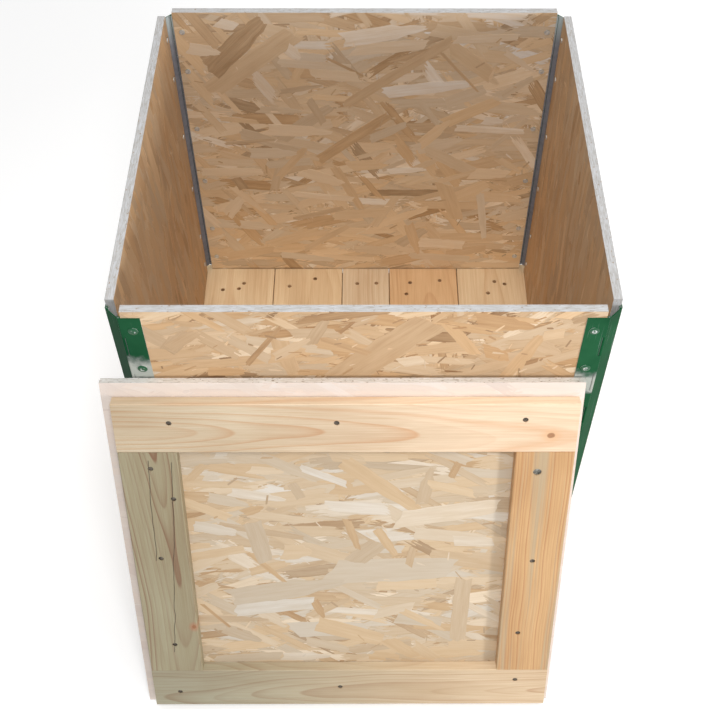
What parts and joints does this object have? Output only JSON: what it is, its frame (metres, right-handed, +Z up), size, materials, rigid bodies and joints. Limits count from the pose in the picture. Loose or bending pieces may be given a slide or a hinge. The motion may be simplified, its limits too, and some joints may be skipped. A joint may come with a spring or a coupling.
{
  "type": "folding wooden crate",
  "caption": "Folding crate: a hinged ring of wood board walls standing on a low pallet base, with a battened lid leaning against its front wall.",
  "frame": {"origin": "on the ground, under the middle of the middle skid, which is the centre of the base", "axes": "+X to the crate's right seen from the lid side, +Y to the back, away from the lid, +Z up"},
  "size_m": [0.5223, 0.6616, 0.5583],
  "materials": {
    "wall_board": "raw oriented strand board, matt",
    "lid_board": "raw oriented strand board, matt",
    "deck_pine": "planed pine, matt",
    "lid_pine": "planed pine, matt",
    "skid_pine": "sawn pine, matt",
    "hinge_steel": "green coated sheet steel, semi-gloss",
    "rivet_steel": "zinc plated",
    "pin_steel": "bright wire",
    "screw_steel": "bright zinc plated screw",
    "nail_steel": "plain wire nail"
  },
  "bodies": {
    "base": {"deck_board_left": "deck_pine", "deck_board_mid_left": "deck_pine", "deck_board_middle": "deck_pine", "deck_board_mid_right": "deck_pine", "deck_board_right": "deck_pine", "skid_back": "skid_pine", "skid_middle": "skid_pine", "skid_front": "skid_pine", "deck_nails": "nail_steel"},
    "back_wall": {"back_wall_panel": "wall_board", "back_left_back_leaf": "hinge_steel", "back_right_back_leaf": "hinge_steel", "back_wall_rivets": "rivet_steel"},
    "left_wall": {"left_wall_panel": "wall_board", "back_left_side_leaf": "hinge_steel", "front_left_side_leaf": "hinge_steel", "left_wall_rivets": "rivet_steel"},
    "front_wall": {"front_wall_panel": "wall_board", "front_left_front_leaf": "hinge_steel", "front_right_front_leaf": "hinge_steel", "front_wall_rivets": "rivet_steel"},
    "right_wall": {"right_wall_panel": "wall_board", "back_right_side_leaf": "hinge_steel", "front_right_side_leaf": "hinge_steel", "right_wall_rivets": "rivet_steel"},
    "back_left_spine": {"back_left_spine": "hinge_steel", "back_left_back_pin": "pin_steel", "back_left_side_pin": "pin_steel"},
    "front_left_spine": {"front_left_spine": "hinge_steel", "front_left_front_pin": "pin_steel", "front_left_side_pin": "pin_steel"},
    "front_right_spine": {"front_right_spine": "hinge_steel", "front_right_front_pin": "pin_steel", "front_right_side_pin": "pin_steel"},
    "back_right_spine": {"back_right_spine": "hinge_steel", "back_right_back_pin": "pin_steel", "back_right_side_pin": "pin_steel"},
    "lid": {"lid_sheet": "lid_board", "lid_batten_top": "lid_pine", "lid_batten_bottom": "lid_pine", "lid_batten_left": "lid_pine", "lid_batten_right": "lid_pine", "lid_nails": "nail_steel", "lid_screw": "screw_steel"}
  },
  "joints": [
    {"name": "ring_lift", "type": "slide", "parent": "base", "child": "back_wall", "axis": [0, 0, 1], "range_m": [0, 0.46]},
    {"name": "back_left_back_hinge", "type": "hinge", "parent": "back_wall", "child": "back_left_spine", "pos_m": [-0.23621, 0.24215, 0.3308], "axis": [0, 0, 1], "range_deg": [-45, 45]},
    {"name": "back_left_side_hinge", "type": "hinge", "parent": "back_left_spine", "child": "left_wall", "pos_m": [-0.24915, 0.22921, 0.3308], "axis": [0, 0, 1], "range_deg": [-45, 45]},
    {"name": "front_left_side_hinge", "type": "hinge", "parent": "left_wall", "child": "front_left_spine", "pos_m": [-0.24915, -0.22921, 0.3308], "axis": [0, 0, 1], "range_deg": [-45, 45]},
    {"name": "front_left_front_hinge", "type": "hinge", "parent": "front_left_spine", "child": "front_wall", "pos_m": [-0.23621, -0.24215, 0.3308], "axis": [0, 0, 1], "range_deg": [-45, 45]},
    {"name": "front_right_front_hinge", "type": "hinge", "parent": "front_wall", "child": "front_right_spine", "pos_m": [0.23621, -0.24215, 0.3308], "axis": [0, 0, 1], "range_deg": [-45, 45]},
    {"name": "ring_fold", "type": "hinge", "parent": "back_wall", "child": "back_right_spine", "pos_m": [0.23621, 0.24215, 0.3308], "axis": [0, 0, 1], "range_deg": [-45, 45]},
    {"name": "back_right_side_hinge", "type": "hinge", "parent": "back_right_spine", "child": "right_wall", "pos_m": [0.24915, 0.22921, 0.3308], "axis": [0, 0, 1], "range_deg": [-45, 45]},
    {"name": "lid_lift", "type": "slide", "parent": "base", "child": "lid", "axis": [0, 0, 1], "range_m": [0, 0.57]}
  ],
  "couplings": [
    {"joint": "back_left_back_hinge", "follows": "ring_fold", "ratio": 1},
    {"joint": "back_left_side_hinge", "follows": "ring_fold", "ratio": 1},
    {"joint": "front_left_side_hinge", "follows": "ring_fold", "ratio": -1},
    {"joint": "front_left_front_hinge", "follows": "ring_fold", "ratio": -1},
    {"joint": "front_right_front_hinge", "follows": "ring_fold", "ratio": 1},
    {"joint": "back_right_side_hinge", "follows": "ring_fold", "ratio": 1}
  ]
}
